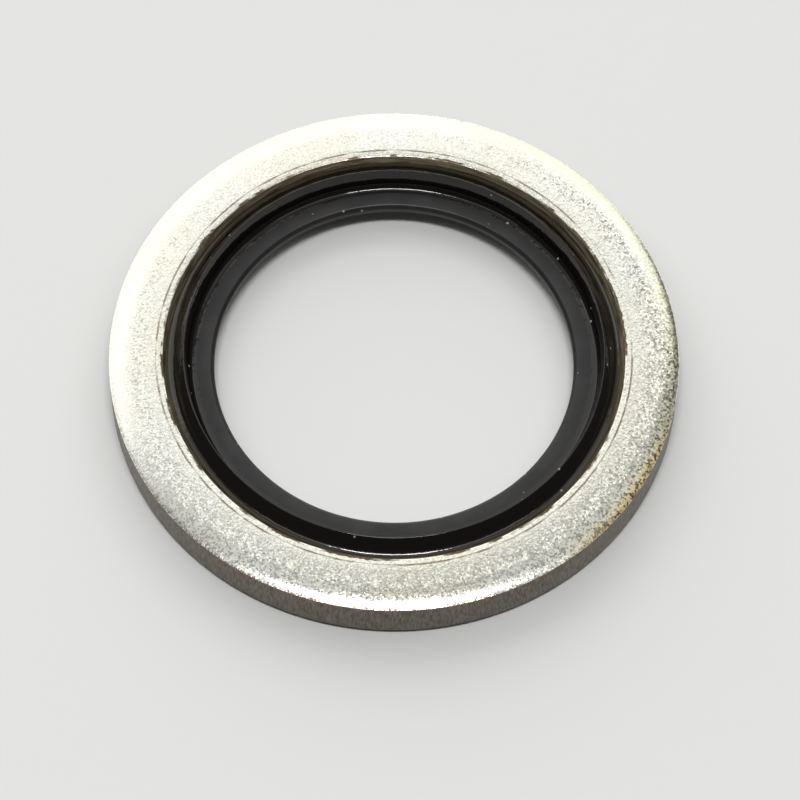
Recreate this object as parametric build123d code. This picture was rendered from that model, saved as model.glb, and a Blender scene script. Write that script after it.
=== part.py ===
"""Self-centring bonded sealing washer: a plated steel ring with a moulded rubber seal in its bore.

Both pieces are true rings, so each is one section revolved about the vertical axis. Sections are
drawn about the washer's mid-plane, with x as the radius and y as the height above that plane, and
the finished rings are lifted so that z = 0 is the plane the washer rests on, under its lower lip.
"""

import math
import os

from build123d import *

# Driving dimensions, in millimetres and degrees

# Steel ring
OUTSIDE_DIAMETER = 23.80
STEEL_THICKNESS = 2.03
STEEL_BORE_DIAMETER = 18.90
# Die roll round the upper outer edge: radius and turn of each arc, from the sheared wall to the face
EDGE_ROLL = ((0.10, 66.0), (2.10, 24.0))
BURR_BREAK = 0.05  # where the burr was tumbled off the lower outer edge
BORE_CHAMFER = 0.20  # at both ends of the bore, 45 degrees
CLAMP_LAND_WIDTH = 0.25  # flat that the mould clamps, between the chamfer and the ring line
RING_LINE_WIDTH = 0.08  # fine groove that the edge of the mould leaves in the steel
RING_LINE_DEPTH = 0.03

# Rubber seal
WEB_BORE_DIAMETER = 15.05  # centring web, a little smaller than the thread it grips
WEB_THICKNESS = 0.53
WEB_EDGE_BEVEL = 0.14  # on both sides of the web's edge, 45 degrees
LIP_CREST_DIAMETER = 17.50  # at the crisp inner edge of the crest
LIP_STAND_OUT = 0.21  # crest above the steel face, on each side
LIP_CREST_RADIUS = 0.12  # round between the crest and the lip's outer side
LIP_OUTER_SLOPE = 47.0  # outer side of the lip, from the washer's face
LIP_INNER_DRAFT = 12.0  # inner side of the lip, from the axis
LIP_ROOT_FILLET = 0.15  # where the lip runs into the web
FOOT_DEPTH = 0.08  # the rubber starts this far below the steel chamfer

# Sizes that follow from them
outer_radius = OUTSIDE_DIAMETER / 2
bore_radius = STEEL_BORE_DIAMETER / 2
half_steel = STEEL_THICKNESS / 2
half_web = WEB_THICKNESS / 2
crest_height = half_steel + LIP_STAND_OUT


def at_height(start: Vector, angle: float, height: float) -> Vector:
    """The point where a line from start, running at an angle in degrees, reaches a height."""
    return Vector(start.X + (height - start.Y) / math.tan(math.radians(angle)), height)


def roll_drop() -> float:
    """How far the arcs of the rolled edge come down the wall, all together."""
    drop = turned = 0.0
    for radius, turn in EDGE_ROLL:
        before, turned = turned, turned + math.radians(turn)
        drop += radius * (math.sin(turned) - math.sin(before))
    return drop


def steel_face(side: int) -> list[Vector]:
    """One face of the steel, from the outside inward: ring line, clamped land, bore chamfer."""
    face = side * half_steel
    chamfer_edge = bore_radius + BORE_CHAMFER
    line_edge = chamfer_edge + CLAMP_LAND_WIDTH
    return [
        Vector(line_edge + RING_LINE_WIDTH, face),
        Vector(line_edge + RING_LINE_WIDTH / 2, face - side * RING_LINE_DEPTH),
        Vector(line_edge, face),
        Vector(chamfer_edge, face),
        Vector(bore_radius, face - side * BORE_CHAMFER),
    ]


def steel_outline() -> Curve:
    """Blanked washer: rolled upper edge, straight sheared wall, lower edge with its burr off."""
    wall_top = Vector(outer_radius, half_steel - roll_drop())
    with BuildLine() as outline:
        start, heading = wall_top, Vector(0, 1)
        for radius, turn in EDGE_ROLL:
            arc = JernArc(start, heading, radius, turn)
            start, heading = arc @ 1, arc % 1
        Polyline(
            start,
            *steel_face(+1),
            *reversed(steel_face(-1)),
            Vector(outer_radius - BURR_BREAK, -half_steel),
            Vector(outer_radius, BURR_BREAK - half_steel),
            wall_top,
        )
    return outline.line


def seal_outline() -> Curve:
    """Moulded rubber: foot, hollow, sealing lip and centring web, the same on both sides."""
    slope = math.radians(LIP_OUTER_SLOPE)
    crest = Vector(LIP_CREST_DIAMETER / 2, crest_height)
    slope_top = crest + LIP_CREST_RADIUS * Vector(math.sin(slope), math.cos(slope) - 1)
    foot = Vector(bore_radius, half_steel - BORE_CHAMFER - FOOT_DEPTH)
    slope_foot = at_height(slope_top, -LIP_OUTER_SLOPE, foot.Y)
    hollow_radius = (foot.X - slope_foot.X) / math.tan(slope / 2)
    root = at_height(crest, 90 - LIP_INNER_DRAFT, half_web)
    web_radius = WEB_BORE_DIAMETER / 2
    bevel_top = Vector(web_radius + WEB_EDGE_BEVEL, half_web)
    bevel_foot = Vector(web_radius, half_web - WEB_EDGE_BEVEL)

    with BuildLine() as outline:
        hollow = JernArc(foot, (-1, 0), hollow_radius, -LIP_OUTER_SLOPE)
        Line(hollow @ 1, slope_top)
        TangentArc(slope_top, crest, tangent=hollow % 1)
        FilletPolyline(crest, root, bevel_top, radius=[LIP_ROOT_FILLET])
        Polyline(bevel_top, bevel_foot, Vector(web_radius, 0))
        mirror(about=Plane.XZ)
        Line(foot, Vector(foot.X, -foot.Y))
    return outline.line


def ring(outline: Curve) -> Part:
    """The outline's face turned once round the axis, and lifted to rest on z = 0."""
    section = Plane.XZ * make_face(outline.edges())
    return Pos(0, 0, crest_height) * revolve(section, axis=Axis.Z)


def main() -> None:
    os.makedirs("parts", exist_ok=True)
    export_step(ring(steel_outline()), "parts/steel_ring.step")
    export_step(ring(seal_outline()), "parts/rubber_seal.step")


if __name__ == "__main__":
    main()
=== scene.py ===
"""Self-centring bonded sealing washer: its looks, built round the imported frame.

Two pieces, each spun round the washer's axis from a drawn section: the zinc-plated steel ring and
the rubber seal moulded into its bore. A section is a line of points, each a radius and a height in
the frame's own axes, with the washer resting on z = 0.
"""

import math
from types import SimpleNamespace

import bmesh
import bpy
from bpy.props import FloatProperty, FloatVectorProperty, PointerProperty
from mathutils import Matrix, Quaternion, Vector


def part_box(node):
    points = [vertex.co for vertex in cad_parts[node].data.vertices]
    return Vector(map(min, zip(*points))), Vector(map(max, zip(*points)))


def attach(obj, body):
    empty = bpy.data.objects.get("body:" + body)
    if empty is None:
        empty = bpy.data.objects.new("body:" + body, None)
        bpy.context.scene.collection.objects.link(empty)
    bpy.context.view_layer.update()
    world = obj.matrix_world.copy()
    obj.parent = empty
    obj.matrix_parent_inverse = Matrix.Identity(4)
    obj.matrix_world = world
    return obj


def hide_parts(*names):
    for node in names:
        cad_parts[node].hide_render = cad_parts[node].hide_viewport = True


bl_info = {
    "name": "Bonded Sealing Washer",
    "version": (1, 0, 0),
    "blender": (4, 5, 0),
    "location": "3D View > Sidebar > Washer",
    "description": "Builds a bonded sealing washer: a plated steel ring with a rubber seal in its bore",
    "category": "Add Mesh",
}

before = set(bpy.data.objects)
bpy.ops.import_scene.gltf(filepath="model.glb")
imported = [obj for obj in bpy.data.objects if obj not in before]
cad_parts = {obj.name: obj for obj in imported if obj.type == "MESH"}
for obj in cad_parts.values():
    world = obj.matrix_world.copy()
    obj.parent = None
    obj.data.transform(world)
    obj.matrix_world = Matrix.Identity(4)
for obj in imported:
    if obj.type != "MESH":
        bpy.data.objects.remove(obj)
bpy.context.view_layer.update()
STEEL_LOW, STEEL_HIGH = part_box("steel_ring")
_, SEAL_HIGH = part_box("rubber_seal")
MIDDLE = (STEEL_LOW.z + STEEL_HIGH.z) / 2  # height of the plane between the washer's two sides

MM = 0.001
SPIN_STEPS = 900  # a step along the outer wall is then 0.08 mm, about two pixels
SAME_POINT = 0.0005 * MM  # points nearer to each other than this are merged
FULL_REACH = 0.999  # how much of a run a round may take up, so that no two points meet
CRISP_EDGE = math.radians(35)  # edges that turn further than this are shaded crisp
# Die roll round the upper outer edge: radius and turn of each arc, from the sheared wall to the face
EDGE_ROLL = ((0.06 * MM, 66), (2.10 * MM, 24))


# Settings that a user would change


def linear(code):
    """The linear colour of an sRGB hex value."""
    shares = (int(code[i : i + 2], 16) / 255 for i in (1, 3, 5))
    return tuple(s / 12.92 if s <= 0.04045 else ((s + 0.055) / 1.055) ** 2.4 for s in shares)


def size(name, description, default):
    """A length in metres."""
    return FloatProperty(
        name=name, description=description, default=default, min=0, precision=6, unit="LENGTH"
    )


def angle(name, description, degrees):
    """An angle, given in degrees and kept in radians."""
    return FloatProperty(
        name=name, description=description, default=math.radians(degrees), subtype="ANGLE"
    )


def colour(name, description, code):
    """A linear colour, given as an sRGB hex value."""
    return FloatVectorProperty(
        name=name, description=description, default=linear(code), min=0, max=1, size=3, subtype="COLOR"
    )


class SteelRingSettings(bpy.types.PropertyGroup):
    """Sizes and colours of the plated steel ring"""

    outer_radius: size("Outer radius", "Radius of the sheared outer wall", STEEL_HIGH.x)
    bore_radius: size("Bore radius", "Radius of the bore that the rubber fills", SEAL_HIGH.x)
    burr_break: size("Burr break", "Width of the break on the lower outer edge", 0.05 * MM)
    burr_round: size("Burr round", "Round at both ends of that break", 0.04 * MM)
    chamfer: size("Bore chamfer", "Width of the chamfer at both ends of the bore", 0.20 * MM)
    chamfer_round: size("Chamfer round", "Round between the chamfer and the clamped land", 0.08 * MM)
    clamp_land: size("Clamped land", "Smooth band that the mould clamps", 0.25 * MM)
    land_tilt: size("Land tilt", "How far the clamped land goes down towards the chamfer", 0.010 * MM)
    line_width: size("Ring line width", "Groove that the edge of the mould leaves", 0.06 * MM)
    line_depth: size("Ring line depth", "Depth of that groove", 0.010 * MM)
    line_round: size("Ring line round", "Round at both edges and at the bottom of that groove", 0.03 * MM)
    press_width: size("Pressed width", "Band outside the ring line that the mould presses down", 0.40 * MM)
    press_depth: size("Pressed depth", "How far that band goes down at the ring line", 0.006 * MM)
    press_round: size("Pressed round", "Round where that band leaves the flat face", 20 * MM)
    zinc: colour("Zinc", "Bright zinc plating on the faces", "#DFDFD6")
    straw: colour("Straw", "Thicker patches of the passivation film", "#E0DED0")
    gold: colour("Gold", "Film where the plating ran thick at the outer edge", "#D2BE8C")
    lemon: colour("Lemon", "Thin yellow film along the outer edge", "#D6D8A8")
    # The wall's colours are partly the dull plating on the sheared wall and partly painted shade: darkened
    # for the dark floor that the wall mirrors
    wall: colour("Wall", "Plating over the sheared outer wall", "#837D73")
    wall_shade: colour("Wall shade", "Darker streaks of the sheared wall", "#5E5648")
    rust: colour("Rust brown", "Burnt plating along the top of the wall", "#6E4A38")
    # The chamfer's colours are partly its thin torn plating and partly painted shade: darkened for the dark
    # surroundings that the chamfer mirrors
    chamfer_tone_and_painted_shade: colour("Chamfer", "Thin plating on the bore chamfer", "#9C917C")
    chamfer_shade: colour("Chamfer shade", "Dark streaks round the bore chamfer", "#575040")
    # Painted shade in the ring line's groove
    ring_line_painted_shade: colour("Ring line", "Dull film left in the ring line", "#958A76")
    rim: colour("Chipped rim", "Burnt plating on the chipped rim of the chamfer", "#5E5140")


class RubberSealSettings(bpy.types.PropertyGroup):
    """Sizes and colours of the moulded rubber seal"""

    web_radius: size("Web bore radius", "Radius of the hole in the centring web", 7.525 * MM)
    web_thickness: size("Web thickness", "Thickness of the centring web", 0.53 * MM)
    web_bevel: size("Web edge bevel", "Bevel on both sides of the web's edge", 0.14 * MM)
    bevel_round: size("Bevel round", "Round at both ends of that bevel", 0.10 * MM)
    crest_radius: size("Lip crest radius", "Distance of the crest's inner edge from the axis", 8.75 * MM)
    crest_width: size("Crest width", "From the crest's inner edge to the lip's outer slope", 0.05218 * MM)
    crest_edge: size("Crest edge", "Round of the crest's crisp inner edge", 0.01 * MM)
    crest_round: size("Crest round", "Round between the crest and the outer slope", 0.04 * MM)
    outer_slope: angle("Outer slope", "Of the lip's outer side, from the washer's face", 47)
    inner_draft: angle("Inner draft", "Of the lip's inner side, from the axis", 10.2)
    root_fillet: size("Lip root fillet", "Fillet where the lip runs into the web", 0.28 * MM)
    foot_depth: size("Foot depth", "Depth of the rubber's edge below the steel's chamfer", 0.08 * MM)
    lip_rubber: colour("Lip rubber", "Nitrile rubber off polished parts of the mould", "#110D0A")
    web_rubber: colour("Web rubber", "Nitrile rubber off the duller web of the mould", "#110F0E")
    # A grey film on the web, painted paler towards the web's edge: painted light, away from the lip's shade
    bloom_and_painted_light: colour("Bloom", "Pale film of wax and dust on the web, towards its edge", "#262423")
    dust: colour("Dust", "Specks of dust on the rubber", "#9A958B")
    # Partly a film of bonding agent, partly a painted reflection of the brown steel chamfer beside it
    bonding_agent_and_reflection: colour("Bonding agent", "Film squeezed out along the foot of the rubber", "#3A352A")


class StageSettings(bpy.types.PropertyGroup):
    """The camera, the weak light of the room, and the floor"""

    camera_distance: size("Camera distance", "From the washer's centre to the camera", 175 * MM)
    focal_length: FloatProperty(
        name="Focal length", description="Of a 36 mm wide sensor, in mm", default=186.9, unit="CAMERA"
    )
    elevation: angle("Elevation", "Of the camera above the floor", 60.87)
    roll: angle("Roll", "Tilt of the camera about its line of sight", 1.1)
    aim_right: size("Aim right", "How far right of the washer's centre the camera aims", 0.28 * MM)
    aim_low: size("Aim low", "How far below the washer's centre the camera aims", 1.02 * MM)
    room_light: FloatProperty(
        name="Room light",
        description="Weak light from all round",
        default=0.10,
        min=0,
        max=1,
        subtype="FACTOR",
    )
    floor_radius: size("Floor radius", "Of the round floor about the washer", 1.5)
    floor: colour("Floor", "Plain pale floor", "#DEDEDC")


# Modelling


def draw_section(name, points):
    """A new piece in edit mode, with a closed section drawn through points of radius and height."""
    bpy.ops.object.select_all(action="DESELECT")
    bpy.ops.mesh.primitive_plane_add(size=MM)
    piece = bpy.context.object
    piece.name = piece.data.name = name
    bpy.ops.object.mode_set(mode="EDIT")
    bpy.ops.mesh.merge(type="CENTER")
    radius, height = points[0]
    bpy.ops.transform.translate(value=(radius, 0, height))
    for (radius, height), (next_radius, next_height) in zip(points, points[1:]):
        step = (next_radius - radius, 0, next_height - height)
        bpy.ops.mesh.extrude_vertices_move(TRANSFORM_OT_translate={"value": step})
    select_vertices(piece, [points[0], points[-1]])
    bpy.ops.mesh.edge_face_add()
    return piece


def nearest_vertex(mesh, point):
    """The vertex of an edited section that is nearest to a radius and height."""
    place = Vector((point[0], 0, point[1]))
    return min(mesh.verts, key=lambda vertex: (vertex.co - place).length)


def select_vertices(piece, points):
    """Selects only the section's vertices at these points."""
    bpy.ops.mesh.select_all(action="DESELECT")
    mesh = bmesh.from_edit_mesh(piece.data)
    for point in points:
        nearest_vertex(mesh, point).select = True
    mesh.select_flush(True)
    bmesh.update_edit_mesh(piece.data)


def round_corner(piece, point, radius, segments):
    """Rounds the section's corner at a point to a radius."""
    select_vertices(piece, [point])
    mesh = bmesh.from_edit_mesh(piece.data)
    corner = nearest_vertex(mesh, point)
    sides = [edge.other_vert(corner).co - corner.co for edge in corner.link_edges]
    reach = radius / math.tan(sides[0].angle(sides[1]) / 2)
    bpy.ops.mesh.bevel(
        affect="VERTICES", offset_type="OFFSET", offset=reach, segments=segments, clamp_overlap=False
    )


def divide_run(piece, start, end, cuts):
    """Divides the section's straight run between two points into equal parts."""
    select_vertices(piece, [start, end])
    bpy.ops.mesh.subdivide(number_cuts=cuts)


def spin_section(piece):
    """Spins the closed section once round the axis into a closed ring, back in object mode."""
    bpy.ops.mesh.select_all(action="SELECT")
    bpy.ops.mesh.remove_doubles(threshold=SAME_POINT)
    bpy.ops.object.mode_set(mode="OBJECT")
    spin = piece.modifiers.new("spin", "SCREW")
    spin.axis = "Z"
    spin.angle = math.tau
    spin.steps = spin.render_steps = SPIN_STEPS
    spin.use_merge_vertices = True
    spin.merge_threshold = SAME_POINT
    bpy.ops.object.modifier_apply(modifier=spin.name)
    bpy.ops.object.mode_set(mode="EDIT")
    bpy.ops.mesh.select_all(action="SELECT")
    bpy.ops.mesh.normals_make_consistent(inside=False)
    bpy.ops.object.mode_set(mode="OBJECT")


def finish_piece(piece, material, node):
    """Smooths a piece but for its crisp edges, gives it its finish and its place in the frame."""
    bpy.ops.object.shade_smooth_by_angle(angle=CRISP_EDGE)
    piece.data.materials.append(material)
    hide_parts(node)
    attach(piece, "root")


def rolled_edge(outer_radius, top):
    """The die roll before its arcs are rounded: its start on the wall, a corner for each arc, and how
    far from the axis its last arc meets the flat face. Each run between them is tangent to its arcs."""
    reaches = [radius * math.tan(math.radians(turn) / 2) for radius, turn in EDGE_ROLL]
    steps, turned = [], 0
    for before, after, (_, turn) in zip([0, *reaches], reaches, EDGE_ROLL):
        heading = math.radians(turned)
        steps.append((before + after) * Vector((-math.sin(heading), math.cos(heading))))
        turned += turn
    points = [Vector((outer_radius, top - sum(step.y for step in steps)))]
    for step in steps:
        points.append(points[-1] + step)
    start, *corners = (tuple(point) for point in points)
    return start, corners, corners[-1][0] - reaches[-1]


class WASHER_OT_add_steel_ring(bpy.types.Operator):
    """Add the plated steel ring"""

    bl_idname = "washer.add_steel_ring"
    bl_label = "Add Steel Ring"

    def execute(self, context):
        ring = context.scene.washer_steel
        top, bottom = STEEL_HIGH.z, STEEL_LOW.z
        wall_top, roll_corners, roll_end = rolled_edge(ring.outer_radius, top)

        # Distances from the axis: the inner edges of the clamped land and of the ring line, the outer
        # edge of the pressed band, and two points between which the face is shaded flat
        land = ring.bore_radius + ring.chamfer
        line = land + ring.clamp_land
        press = line + ring.line_width + ring.press_width
        flat_start, flat_end = press + 0.20 * MM, roll_end - 0.03 * MM

        # A face from the outside inward: distance from the axis, and height over the face
        face = [
            (flat_end, 0),
            (flat_start, 0),
            (press, 0),
            (line + ring.line_width, -ring.press_depth),
            (line + ring.line_width / 2, -ring.line_depth),
            (line, -ring.press_depth),
            (land, -ring.press_depth - ring.land_tilt),
            (ring.bore_radius, -ring.chamfer),
        ]
        # The round and its segments at each of its corners, from the edge of the pressed band on
        rounds = [
            (ring.press_round, 4),
            (ring.line_round, 2),
            (ring.line_round, 3),
            (ring.line_round, 2),
            (ring.chamfer_round, 4),
        ]
        upper = [(radius, top + height) for radius, height in face]
        lower = [(radius, bottom - height) for radius, height in face[1:]]
        burr = [
            (ring.outer_radius - ring.burr_break, bottom),
            (ring.outer_radius, bottom + ring.burr_break),
        ]
        outline = [wall_top, *roll_corners, *upper, *reversed(lower), *burr]
        piece = draw_section("plated_steel_ring", outline)

        # Cuts across the clamped land keep its shading flat
        line_edge, land_edge = upper[5:7]
        divide_run(piece, line_edge, land_edge, cuts=3)
        for corner, (radius, _) in zip(roll_corners, EDGE_ROLL):
            round_corner(piece, corner, radius, segments=8)
        for corners in (upper[2:], lower[1:]):
            for corner, (radius, segments) in zip(corners, rounds):
                round_corner(piece, corner, radius, segments)
        for corner in burr:
            round_corner(piece, corner, ring.burr_round, segments=2)
        spin_section(piece)
        finish_piece(piece, zinc_plated_steel(ring), "steel_ring")
        return {"FINISHED"}


class WASHER_OT_add_rubber_seal(bpy.types.Operator):
    """Add the moulded rubber seal"""

    bl_idname = "washer.add_rubber_seal"
    bl_label = "Add Rubber Seal"

    def execute(self, context):
        seal = context.scene.washer_seal
        ring = context.scene.washer_steel
        half_web = seal.web_thickness / 2
        crest = SEAL_HIGH.z - MIDDLE
        foot = STEEL_HIGH.z - MIDDLE - ring.chamfer - seal.foot_depth
        crest_end = seal.crest_radius + seal.crest_width
        slope_end = crest_end + (crest - foot) / math.tan(seal.outer_slope)
        root = seal.crest_radius - (crest - half_web) * math.tan(seal.inner_draft)
        # The hollow is one round that takes up all of the foot
        hollow = FULL_REACH * (ring.bore_radius - slope_end) / math.tan(seal.outer_slope / 2)

        # Half the section from the steel inward: distance from the axis, and height over the middle
        half = [
            (ring.bore_radius, foot),
            (slope_end, foot),
            (crest_end, crest),
            (seal.crest_radius, crest),
            (root, half_web),
            (seal.web_radius + seal.web_bevel, half_web),
            (seal.web_radius, half_web - seal.web_bevel),
        ]
        # The round and its segments at each corner after the first point
        rounds = [
            (hollow, 8),
            (seal.crest_round, 6),
            (seal.crest_edge, 2),
            (seal.root_fillet, 8),
            (seal.bevel_round, 4),
            (seal.bevel_round, 4),
        ]
        upper = [(radius, MIDDLE + height) for radius, height in half]
        lower = [(radius, MIDDLE - height) for radius, height in half]
        piece = draw_section("moulded_rubber_seal", [*upper, *reversed(lower)])
        for corners in (upper[1:], lower[1:]):
            for corner, (radius, segments) in zip(corners, rounds):
                round_corner(piece, corner, radius, segments)
        spin_section(piece)
        finish_piece(piece, moulded_nitrile_rubber(seal), "rubber_seal")
        return {"FINISHED"}


# Materials. Their patterns are laid out in mm, so one with a grain of w mm has a scale of 1 / w. A
# pixel is about 0.04 mm wide here, and a grain under two pixels doesn't show. A Mix node takes its
# two colours at inputs 6 and 7, or its two numbers at 2 and 3, and gives its colour at output 2.


def new_material(name):
    """A new material, its tree, and the Principled shader that is already on its output."""
    material = bpy.data.materials.new(name)
    material.use_nodes = True
    tree = material.node_tree
    tree.nodes.clear()
    shader = tree.nodes.new("ShaderNodeBsdfPrincipled")
    output = tree.nodes.new("ShaderNodeOutputMaterial")
    tree.links.new(shader.outputs["BSDF"], output.inputs["Surface"])
    return material, tree, shader


def add_node(tree, kind, inputs=None, **settings):
    """A node of a kind with its settings. Each input is set to a value or linked to a socket."""
    node = tree.nodes.new("ShaderNode" + kind)
    for name, value in settings.items():
        setattr(node, name, value)
    for name, value in (inputs or {}).items():
        if isinstance(value, bpy.types.NodeSocket):
            tree.links.new(value, node.inputs[name])
        else:
            node.inputs[name].default_value = value
    return node


def ring_places(tree):
    """Where a point of a ring is, in mm: its place, its place seen from above, and how far it is
    from the axis."""
    place = add_node(tree, "TexCoord").outputs["Object"]
    mm = add_node(tree, "VectorMath", {0: place, 1: (1 / MM,) * 3}, operation="MULTIPLY").outputs[0]
    flat = add_node(tree, "VectorMath", {0: mm, 1: (1, 1, 0)}, operation="MULTIPLY").outputs[0]
    radius = add_node(tree, "VectorMath", {0: flat}, operation="LENGTH").outputs["Value"]
    return mm, flat, radius


def drawn_out(tree, direction, along, true_radius, stretch):
    """Places for a pattern that runs round the axis at its own size at the true radius, and is
    drawn out (stretch under 1) or squeezed (over 1) along the section."""
    along = add_node(tree, "VectorMath", {0: along, "Scale": stretch}, operation="SCALE").outputs[0]
    return add_node(
        tree, "VectorMath", {0: direction, 1: (true_radius,) * 3, 2: along}, operation="MULTIPLY_ADD"
    ).outputs[0]


def towards(tree, direction, side, low, high):
    """A mask for one side of the ring, given as a direction in the frame: x is right and y is far.
    It is 0 where the direction from the axis has the low share of that side or less, and 1 where it
    has the high share or more."""
    share = add_node(tree, "VectorMath", {0: direction, 1: side}, operation="DOT_PRODUCT")
    share = share.outputs["Value"]
    return add_node(tree, "MapRange", {"Value": share, "From Min": low, "From Max": high}).outputs[0]


def steel_patterns(tree):
    """The places and patterns that the plated steel's zones, colour and relief are made of."""
    mm, flat, radius = ring_places(tree)
    direction = add_node(tree, "VectorMath", {0: flat}, operation="NORMALIZE").outputs[0]
    height = add_node(tree, "SeparateXYZ", {0: mm}).outputs["Z"]
    along = add_node(tree, "Math", {0: radius, 1: height}, operation="ADD").outputs[0]
    along = add_node(tree, "CombineXYZ", {"Z": along}).outputs[0]
    sheared = drawn_out(tree, direction, along, true_radius=11.5, stretch=0.2)
    turned = drawn_out(tree, direction, along, true_radius=9, stretch=12)
    return SimpleNamespace(
        radius=radius,
        height=height,
        direction=direction,
        # Rolling leaves the strip mottled in facets of about 0.1 mm, and the thin plating follows
        # them. The plating's own crystals, about 0.003 mm across, are too fine to show.
        facets=add_node(tree, "TexVoronoi", {"Vector": mm, "Scale": 1 / 0.08}).outputs["Color"],
        grit=add_node(tree, "TexNoise", {"Vector": mm, "Scale": 1 / 0.10, "Detail": 1}).outputs[0],
        # Shear marks down the wall, 0.4 mm long. Real ones are about 0.02 mm wide, which is too fine
        # to show, so they are drawn 0.08 mm wide.
        sheared=add_node(tree, "TexNoise", {"Vector": sheared, "Scale": 1 / 0.08, "Detail": 2}).outputs[0],
        # Tool marks round the chamfer, 1 mm long, drawn 0.08 mm wide for the same reason
        turned=add_node(tree, "TexNoise", {"Vector": turned, "Scale": 1, "Detail": 3}).outputs[0],
        # Torn edges and chips, stretches of uneven plating, and clouds in the passivation film
        torn=add_node(tree, "TexNoise", {"Vector": mm, "Scale": 1 / 0.22, "Detail": 4}).outputs[0],
        blotches=add_node(tree, "TexNoise", {"Vector": mm, "Scale": 1 / 0.9, "Detail": 3}).outputs[0],
        clouds=add_node(tree, "TexNoise", {"Vector": mm, "Scale": 1 / 3.5, "Detail": 4}).outputs[0],
    )


def steel_zones(tree, ring, patterns):
    """Masks for the parts of the plated steel that differ, placed by their distance in mm from the
    axis. A pattern is 0.5 on average, so one that is added to a place moves it by half its weight."""
    radius, direction, torn = patterns.radius, patterns.direction, patterns.torn
    outer = ring.outer_radius / MM
    rim = (ring.bore_radius + ring.chamfer) / MM
    line = rim + (ring.clamp_land + ring.line_width / 2) / MM

    # The sheared wall begins about 0.2 mm below the face, where the die roll ends, with a ragged
    # edge. Along the front the plating is burnt brown there, in a line 0.03 mm wide.
    drop = add_node(
        tree, "Math", {0: patterns.height, 1: -1, 2: STEEL_HIGH.z / MM}, operation="MULTIPLY_ADD"
    ).outputs[0]
    drop = add_node(
        tree, "Math", {0: patterns.sheared, 1: 0.12, 2: drop}, operation="MULTIPLY_ADD"
    ).outputs[0]
    outside = add_node(
        tree, "MapRange", {"Value": radius, "From Min": outer - 0.3, "From Max": outer - 0.2}
    ).outputs[0]
    wall = add_node(tree, "MapRange", {"Value": drop, "From Min": 0.26, "From Max": 0.29}).outputs[0]
    wall = add_node(tree, "Math", {0: wall, 1: outside}, operation="MULTIPLY").outputs[0]
    rust = add_node(tree, "MapRange", {"Value": drop, "From Min": 0.23, "From Max": 0.26}).outputs[0]
    rust = add_node(tree, "Math", {0: rust, 1: outside}, operation="MULTIPLY").outputs[0]
    front = towards(tree, direction, (-0.15, -1, 0), 0.3, 0.9)
    rust = add_node(tree, "Math", {0: rust, 1: front}, operation="MULTIPLY").outputs[0]

    # The chamfer's rim is ragged by 0.04 mm, and by 0.16 mm where tumbling in the barrel chipped it
    uneven = add_node(
        tree, "MapRange", {"Value": patterns.blotches, "From Min": 0.46, "From Max": 0.56}
    ).outputs[0]
    depth = add_node(tree, "MapRange", {"Value": uneven, "To Min": 0.04, "To Max": 0.16}).outputs[0]
    place = add_node(tree, "Math", {0: torn, 1: -0.5}, operation="ADD").outputs[0]
    place = add_node(tree, "Math", {0: place, 1: depth, 2: radius}, operation="MULTIPLY_ADD").outputs[0]
    chamfer = add_node(
        tree, "MapRange", {"Value": place, "From Min": rim + 0.015, "From Max": rim - 0.005}
    ).outputs[0]
    chipped = add_node(tree, "Math", {0: place, 1: -(rim + 0.04)}, operation="ADD").outputs[0]
    chipped = add_node(tree, "Math", {0: chipped}, operation="ABSOLUTE").outputs[0]
    chipped = add_node(tree, "MapRange", {"Value": chipped, "From Min": 0.06, "From Max": 0.035}).outputs[0]
    chipped = add_node(tree, "Math", {0: chipped, 1: uneven}, operation="MULTIPLY").outputs[0]

    # The ring line is painted darker, as painted shade in its groove, broken up here and there
    groove = add_node(tree, "Math", {0: torn, 1: 0.06, 2: radius}, operation="MULTIPLY_ADD").outputs[0]
    groove = add_node(tree, "Math", {0: groove, 1: -(line + 0.03)}, operation="ADD").outputs[0]
    groove = add_node(tree, "Math", {0: groove}, operation="ABSOLUTE").outputs[0]
    groove = add_node(tree, "MapRange", {"Value": groove, "From Min": 0.05, "From Max": 0.03}).outputs[0]
    unbroken = add_node(
        tree, "MapRange", {"Value": patterns.blotches, "From Min": 0.60, "From Max": 0.45, "To Min": 0.15}
    ).outputs[0]
    groove = add_node(tree, "Math", {0: groove, 1: unbroken}, operation="MULTIPLY").outputs[0]

    # The drawn-down roll, and the inner half of the face, which the mould has pressed smooth
    roll = add_node(
        tree,
        "MapRange",
        {"Value": radius, "From Min": outer - 0.5, "From Max": outer - 0.1},
        interpolation_type="SMOOTHSTEP",
    ).outputs[0]
    smooth = add_node(
        tree,
        "MapRange",
        {"Value": radius, "From Min": outer - 1.1, "From Max": outer - 1.7},
        interpolation_type="SMOOTHSTEP",
    ).outputs[0]

    # The grain is calm on the far left, most of all near the outer edge, and along the far roll. There its
    # facets lean less, and their colour is painted paler, as painted light where the lamps wash the grain
    # out
    calm_and_painted_light = towards(tree, direction, (-0.75, 0.66, 0), -0.2, 0.5)
    share = add_node(
        tree,
        "MapRange",
        {"Value": radius, "From Min": outer - 1.3, "From Max": outer - 0.9, "To Min": 0.4, "To Max": 1},
    ).outputs[0]
    calm_and_painted_light = add_node(tree, "Math", {0: calm_and_painted_light, 1: share}, operation="MULTIPLY").outputs[0]
    far = towards(tree, direction, (0.3, 0.95, 0), 0.3, 0.8)
    share = add_node(
        tree, "MapRange", {"Value": radius, "From Min": outer - 0.8, "From Max": outer - 0.5}
    ).outputs[0]
    far = add_node(tree, "Math", {0: far, 1: share}, operation="MULTIPLY").outputs[0]
    calm_and_painted_light = add_node(tree, "Math", {0: calm_and_painted_light, 1: far}, operation="MAXIMUM").outputs[0]
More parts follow.
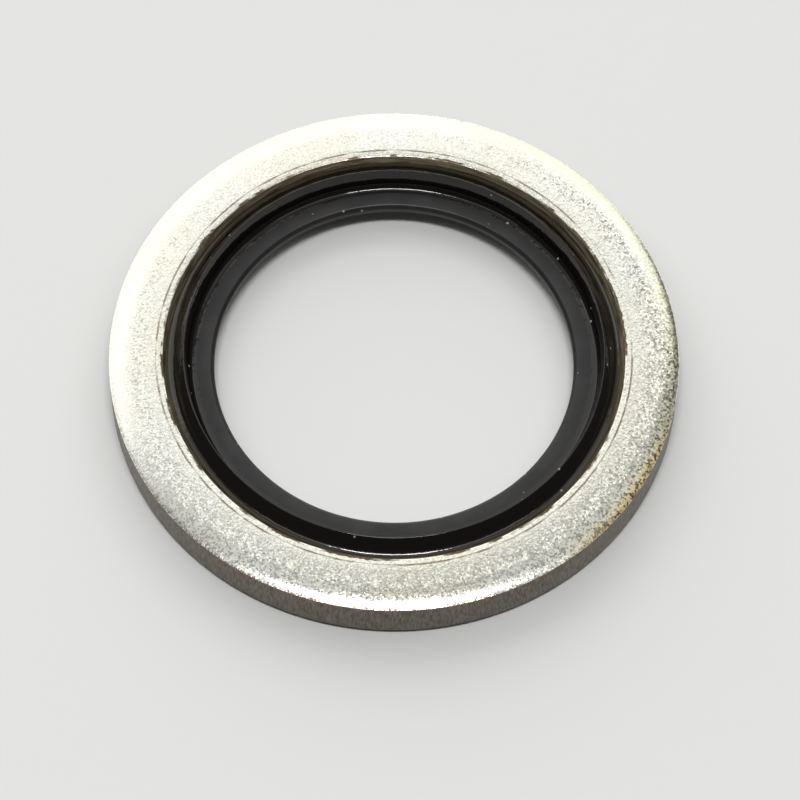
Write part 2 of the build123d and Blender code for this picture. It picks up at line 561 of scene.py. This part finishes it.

    # The film runs thick along the outer edge: gold over a short stretch at the near right, and thin
    # yellow all round the right side. In the middle of that side the facets are painted darker, as painted
    # shade for the dark surroundings they mirror there
    place = add_node(tree, "Math", {0: torn, 1: 0.9, 2: radius}, operation="MULTIPLY_ADD").outputs[0]
    golden = add_node(
        tree,
        "MapRange",
        {"Value": place, "From Min": outer - 0.05, "From Max": outer + 0.40},
        interpolation_type="SMOOTHSTEP",
    ).outputs[0]
    near_right = towards(tree, direction, (0.85, -0.52, 0), 0.93, 0.99)
    golden = add_node(tree, "Math", {0: golden, 1: near_right}, operation="MULTIPLY").outputs[0]
    yellow = add_node(
        tree,
        "MapRange",
        {"Value": place, "From Min": outer - 0.30, "From Max": outer + 0.20},
        interpolation_type="SMOOTHSTEP",
    ).outputs[0]
    right = towards(tree, direction, (1, 0.2, 0), 0.3, 0.9)
    yellow = add_node(tree, "Math", {0: yellow, 1: right}, operation="MULTIPLY").outputs[0]
    # Painted shade: darker facets in the middle of the right side
    right = towards(tree, direction, (0.95, -0.3, 0), 0.75, 0.95)
    painted_shade_right = add_node(tree, "Math", {0: yellow, 1: right}, operation="MULTIPLY").outputs[0]
    return SimpleNamespace(
        wall=wall,
        rust=rust,
        chamfer=chamfer,
        chipped=chipped,
        groove=groove,
        roll=roll,
        smooth=smooth,
        calm_and_painted_light=calm_and_painted_light,
        golden=golden,
        yellow=yellow,
        painted_shade_right=painted_shade_right,
    )


def streaked(tree, pattern, shade, tone):
    """A colour that goes from a shade to a tone over the middle of a pattern's range."""
    share = add_node(tree, "MapRange", {"Value": pattern, "From Min": 0.35, "From Max": 0.65}).outputs[0]
    return add_node(tree, "Mix", {0: share, 6: (*shade, 1), 7: (*tone, 1)}, data_type="RGBA").outputs[2]


def steel_colour(tree, ring, patterns, zones):
    """The plated steel's colour: the face's zinc, with film, facets and worn zones laid over it, some of
    them partly painted light and shade.
    """
    outer = ring.outer_radius / MM
    straw = add_node(
        tree, "MapRange", {"Value": patterns.clouds, "From Min": 0.40, "From Max": 0.62}
    ).outputs[0]
    tint = add_node(tree, "Math", {0: zones.yellow, 1: 0.35}, operation="MULTIPLY").outputs[0]

    # How pale the darkest facets are: most on the inner half of the face, least at the outer edge. Their
    # darkening towards the edge is partly the plating's mottle and partly painted shade, for the dark
    # surroundings that the tilted facets mirror there
    darkest = add_node(
        tree,
        "MapRange",
        {
            "Value": patterns.radius,
            "From Min": outer - 1.3,
            "From Max": outer - 0.5,
            "To Min": 0.86,
            "To Max": 0.50,
        },
    ).outputs[0]
    # Darker facets in the gold film, and painted shade on the right side
    for mask, change in ((zones.golden, -0.12), (zones.painted_shade_right, -0.25)):
        darkest = add_node(
            tree, "Math", {0: mask, 1: change, 2: darkest}, operation="MULTIPLY_ADD"
        ).outputs[0]
    # On the calm far left the darkest facets are painted paler: painted light
    darkest = add_node(
        tree, "MapRange", {"Value": zones.calm_and_painted_light, "To Min": darkest, "To Max": 0.95}
    ).outputs[0]
    facets = add_node(tree, "SeparateColor", {0: patterns.facets}).outputs["Blue"]
    facets = add_node(
        tree,
        "MapRange",
        {"Value": facets, "From Min": 0.2, "From Max": 0.6, "To Min": darkest, "To Max": 1.03},
    ).outputs[0]

    tone = (*ring.zinc, 1)
    for blend, mask, layer in (
        ("MIX", straw, (*ring.straw, 1)),
        ("MIX", tint, (*ring.lemon, 1)),
        ("MIX", zones.golden, (*ring.gold, 1)),
        ("MULTIPLY", 1, facets),
        ("MIX", zones.rust, (*ring.rust, 1)),
        # The wall's colour is partly painted shade, darkened for the floor it mirrors
        ("MIX", zones.wall, streaked(tree, patterns.sheared, ring.wall_shade, ring.wall)),
        # The chamfer's colour is partly painted shade, darkened for the surroundings it mirrors
        ("MIX", zones.chamfer, streaked(tree, patterns.turned, ring.chamfer_shade, ring.chamfer_tone_and_painted_shade)),
        # Painted shade in the ring line's groove
        ("MIX", zones.groove, (*ring.ring_line_painted_shade, 1)),
        ("MIX", zones.chipped, (*ring.rim, 1)),
    ):
        tone = add_node(
            tree, "Mix", {0: mask, 6: tone, 7: layer}, data_type="RGBA", blend_type=blend
        ).outputs[2]
    return tone


def steel_gloss(tree, zones):
    """The plated steel's roughness: glossiest on the face, and dull where the steel is torn."""
    torn = add_node(tree, "Math", {0: zones.wall, 1: zones.chamfer}, operation="MAXIMUM").outputs[0]
    torn = add_node(tree, "Math", {0: torn, 1: zones.chipped}, operation="MAXIMUM").outputs[0]
    gloss = add_node(tree, "MapRange", {"Value": zones.roll, "To Min": 0.20, "To Max": 0.26}).outputs[0]
    return add_node(tree, "MapRange", {"Value": torn, "To Min": gloss, "To Max": 0.45}).outputs[0]


def steel_relief(tree, ring, patterns, zones):
    """The plated steel's relief: facets that each lean their own way, over a fine grit."""
    outer = ring.outer_radius / MM
    lean = add_node(
        tree,
        "MapRange",
        {
            "Value": patterns.radius,
            "From Min": outer - 1.0,
            "From Max": outer - 0.8,
            "To Min": 0.13,
            "To Max": 0.20,
        },
    ).outputs[0]
    # The die draws the strip's edge down and smooths it
    lean = add_node(
        tree,
        "MapRange",
        {
            "Value": patterns.radius,
            "From Min": outer - 0.7,
            "From Max": outer - 0.4,
            "To Min": lean,
            "To Max": 0.06,
        },
    ).outputs[0]
    for mask, least in ((zones.calm_and_painted_light, 0.05), (zones.smooth, 0.03)):
        lean = add_node(tree, "MapRange", {"Value": mask, "To Min": lean, "To Max": least}).outputs[0]
    tilt = add_node(
        tree, "VectorMath", {0: patterns.facets, 1: (0.5, 0.5, 0.5)}, operation="SUBTRACT"
    ).outputs[0]
    tilt = add_node(tree, "VectorMath", {0: tilt, "Scale": lean}, operation="SCALE").outputs[0]
    normal = add_node(tree, "NewGeometry").outputs["Normal"]
    normal = add_node(tree, "VectorMath", {0: normal, 1: tilt}, operation="ADD").outputs[0]
    normal = add_node(tree, "VectorMath", {0: normal}, operation="NORMALIZE").outputs[0]
    relief = add_node(
        tree, "Mix", {0: zones.roll, 2: patterns.grit, 3: patterns.sheared}, data_type="FLOAT"
    ).outputs[0]
    return add_node(
        tree, "Bump", {"Height": relief, "Distance": 0.004 * MM, "Strength": 1, "Normal": normal}
    ).outputs[0]


def zinc_plated_steel(ring):
    """Zinc-plated mild steel, clear passivated: blanked from cold-rolled strip, then barrel plated."""
    # The plating follows the strip's mottled surface, so the eye sees a pale, faintly warm metal that
    # glitters in fine facets. Sheared and chamfered edges are torn, and stay dull and brownish; their
    # colours are painted darker too, as painted shade for the dark surroundings that they mirror.
    material, tree, shader = new_material("zinc_plated_steel")
    patterns = steel_patterns(tree)
    zones = steel_zones(tree, ring, patterns)
    shader.inputs["Metallic"].default_value = 1
    tree.links.new(steel_colour(tree, ring, patterns, zones), shader.inputs["Base Color"])
    tree.links.new(steel_gloss(tree, zones), shader.inputs["Roughness"])
    tree.links.new(steel_relief(tree, ring, patterns, zones), shader.inputs["Normal"])
    return material


def moulded_nitrile_rubber(seal):
    """Compression-moulded black nitrile rubber."""
    # Polished steel moulded the lips, so they mirror the lights. The web comes off a duller part of the
    # mould, and the eye sees it a soft dark grey, from a grey film and a little dust, painted paler towards
    # the web's edge as painted light, where the lip shades it less.
    material, tree, shader = new_material("moulded_nitrile_rubber")
    # Its IOR is about the shader's own 1.5, and the film of wax on it takes a fifth off the mirror
    shader.inputs["Specular IOR Level"].default_value = 0.40
    mm, _, radius = ring_places(tree)
    crest = seal.crest_radius / MM
    foot = SEAL_HIGH.x / MM

    # Zones, in mm from the axis: the web; its grey bloom in clouds about 1 mm across, painted paler towards
    # the web's edge as painted light; and a line of bonding agent squeezed out against the steel, which
    # also stands for a painted reflection of the brown chamfer
    web = add_node(
        tree,
        "MapRange",
        {"Value": radius, "From Min": crest - 0.45, "From Max": crest - 0.60},
        interpolation_type="SMOOTHSTEP",
    ).outputs[0]
    # Painted light: the bloom is paler towards the web's edge, away from the lip
    bloom_and_painted_light = add_node(tree, "TexNoise", {"Vector": mm, "Scale": 1 / 1.2, "Detail": 3}).outputs[0]
    bloom_and_painted_light = add_node(tree, "Math", {0: bloom_and_painted_light, 1: 1.2, 2: radius}, operation="MULTIPLY_ADD").outputs[0]
    bloom_and_painted_light = add_node(
        tree,
        "MapRange",
        {"Value": bloom_and_painted_light, "From Min": crest + 0.05, "From Max": crest - 0.65},
        interpolation_type="SMOOTHSTEP",
    ).outputs[0]
    # Partly bonding agent, partly a painted reflection of the brown chamfer
    bonding_and_reflection = add_node(
        tree,
        "MapRange",
        {"Value": radius, "From Min": foot - 0.23, "From Max": foot - 0.03},
        interpolation_type="SMOOTHSTEP",
    ).outputs[0]

    # A third of the cells, each 0.7 mm wide, hold one speck of dust. Real specks are 0.01 to 0.05 mm
    # across, which is too fine to show, so they are drawn 0.1 mm across.
    cells = add_node(tree, "TexVoronoi", {"Vector": mm, "Scale": 1 / 0.7})
    held = add_node(tree, "SeparateColor", {0: cells.outputs["Color"]}).outputs["Red"]
    held = add_node(tree, "MapRange", {"Value": held, "From Min": 0.55, "From Max": 0.75}).outputs[0]
    dust = add_node(
        tree,
        "MapRange",
        {"Value": cells.outputs["Distance"], "From Min": 0.09, "From Max": 0.05, "To Max": held},
    ).outputs[0]

    tone = (*seal.lip_rubber, 1)
    for mask, layer in (
        (web, seal.web_rubber),
        (bloom_and_painted_light, seal.bloom_and_painted_light),
        (bonding_and_reflection, seal.bonding_agent_and_reflection),
        (dust, seal.dust),
    ):
        tone = add_node(tree, "Mix", {0: mask, 6: tone, 7: (*layer, 1)}, data_type="RGBA").outputs[2]
    tree.links.new(tone, shader.inputs["Base Color"])
    gloss = add_node(tree, "MapRange", {"Value": web, "To Min": 0.09, "To Max": 0.40}).outputs[0]
    tree.links.new(gloss, shader.inputs["Roughness"])

    # Half-millimetre waves on the lips, and a finer roughness on the web
    waves = add_node(tree, "TexNoise", {"Vector": mm, "Scale": 1 / 0.5, "Detail": 2}).outputs[0]
    rough = add_node(tree, "TexNoise", {"Vector": mm, "Scale": 1 / 0.3, "Detail": 4}).outputs[0]
    relief = add_node(tree, "Mix", {0: web, 2: waves, 3: rough}, data_type="FLOAT").outputs[0]
    bump = add_node(tree, "Bump", {"Height": relief, "Distance": 0.012 * MM, "Strength": 1}).outputs[0]
    tree.links.new(bump, shader.inputs["Normal"])
    return material


def pale_laminate(stage):
    """Matt pale laminate."""
    # Pressed against a matt sheet, so it is one even tone with hardly a reflection
    material, tree, shader = new_material("pale_laminate")
    shader.inputs["Base Color"].default_value = (*stage.floor, 1)
    shader.inputs["Roughness"].default_value = 0.7
    return material


# Stage


def add_lamp(name, azimuth, elevation, distance, width, height, radiance):
    """A rectangular lamp that faces the washer. Its azimuth goes round to the right from the
    camera's side, and its power is what gives it the radiance, in watts per square metre and
    steradian."""
    turn, rise = math.radians(azimuth), math.radians(elevation)
    out = Vector((math.sin(turn) * math.cos(rise), -math.cos(turn) * math.cos(rise), math.sin(rise)))
    light = bpy.data.lights.new(name, "AREA")
    light.shape = "RECTANGLE"
    light.size = width
    light.size_y = height
    light.energy = radiance * math.pi * width * height
    lamp = bpy.data.objects.new(name, light)
    bpy.context.scene.collection.objects.link(lamp)
    lamp.location = out * distance
    lamp.rotation_mode = "QUATERNION"
    lamp.rotation_quaternion = out.to_track_quat("Z", "Y")


def add_lamps():
    """The lamps, each for what it gives the eye."""
    # A wide one behind and a little to the left, which the flat faces mirror: it makes them pale
    add_lamp(
        "window_softbox", azimuth=194, elevation=33.5, distance=0.6, width=1.10, height=0.70, radiance=1.40
    )
    # Above that one, so that faces that lean a little stay pale too
    add_lamp(
        "ceiling_softbox", azimuth=180, elevation=78, distance=0.6, width=1.30, height=0.24, radiance=0.60
    )
    # A small bright one overhead, for the narrow highlights on the roll and the lips
    add_lamp(
        "overhead_lamp", azimuth=0, elevation=79, distance=0.5, width=0.16, height=0.05, radiance=43
    )
    # A long weak one beside it, which draws those highlights out round the ring
    add_lamp(
        "overhead_softbox", azimuth=2, elevation=78, distance=0.5, width=0.60, height=0.08, radiance=2.1
    )
    # A pale card at the right, for a soft light on the slopes that face it
    add_lamp("side_card", azimuth=118, elevation=50, distance=0.6, width=0.45, height=0.35, radiance=0.26)


class WASHER_OT_set_stage(bpy.types.Operator):
    """Add the floor, the lamps and the camera"""

    bl_idname = "washer.set_stage"
    bl_label = "Set Stage"

    def execute(self, context):
        stage = context.scene.washer_stage
        bpy.ops.object.select_all(action="DESELECT")
        bpy.ops.mesh.primitive_circle_add(vertices=64, radius=stage.floor_radius, fill_type="NGON")
        floor = bpy.context.object
        floor.name = "floor"
        floor.data.materials.append(pale_laminate(stage))

        world = bpy.data.worlds.new("studio")
        world.use_nodes = True
        background = world.node_tree.nodes["Background"]
        background.inputs["Color"].default_value = (*(stage.room_light,) * 3, 1)
        context.scene.world = world
        add_lamps()

        camera = bpy.data.objects.new("camera", bpy.data.cameras.new("camera"))
        context.scene.collection.objects.link(camera)
        context.scene.camera = camera
        camera.data.lens = stage.focal_length
        camera.data.clip_start = 5 * MM
        back = Vector((0, -math.cos(stage.elevation), math.sin(stage.elevation)))
        up = Vector((0, math.sin(stage.elevation), math.cos(stage.elevation)))
        centre = Vector((0, 0, STEEL_LOW.z))
        camera.location = centre + back * stage.camera_distance
        aim = centre + Vector((stage.aim_right, 0, 0)) - up * stage.aim_low
        camera.rotation_mode = "QUATERNION"
        track = (camera.location - aim).to_track_quat("Z", "Y")
        camera.rotation_quaternion = track @ Quaternion((0, 0, 1), stage.roll)
        context.scene.view_settings.view_transform = "Standard"
        return {"FINISHED"}


# The add-on's panel, and what is registered


class WASHER_PT_parts(bpy.types.Panel):
    """The washer's pieces and its stage, with their sizes and colours"""

    bl_idname = "WASHER_PT_parts"
    bl_label = "Bonded Sealing Washer"
    bl_space_type = "VIEW_3D"
    bl_region_type = "UI"
    bl_category = "Washer"

    def draw(self, context):
        for (name, group), operator in zip(SETTINGS.items(), OPERATORS):
            box = self.layout.box()
            box.operator(operator.bl_idname)
            for setting in group.__annotations__:
                box.prop(getattr(context.scene, name), setting)


OPERATORS = (WASHER_OT_add_steel_ring, WASHER_OT_add_rubber_seal, WASHER_OT_set_stage)
SETTINGS = {
    "washer_steel": SteelRingSettings,
    "washer_seal": RubberSealSettings,
    "washer_stage": StageSettings,
}


def register():
    """Makes the settings, the operators and the panel known to Blender."""
    for made in (*SETTINGS.values(), *OPERATORS, WASHER_PT_parts):
        bpy.utils.register_class(made)
    for name, group in SETTINGS.items():
        setattr(bpy.types.Scene, name, PointerProperty(type=group))


def unregister():
    """Takes them away again."""
    for name in SETTINGS:
        delattr(bpy.types.Scene, name)
    for made in (WASHER_PT_parts, *reversed(OPERATORS), *reversed(SETTINGS.values())):
        bpy.utils.unregister_class(made)


def main():
    """Builds the washer and its stage."""
    register()
    bpy.ops.washer.add_steel_ring()
    bpy.ops.washer.add_rubber_seal()
    bpy.ops.washer.set_stage()


if __name__ == "__main__":
    main()
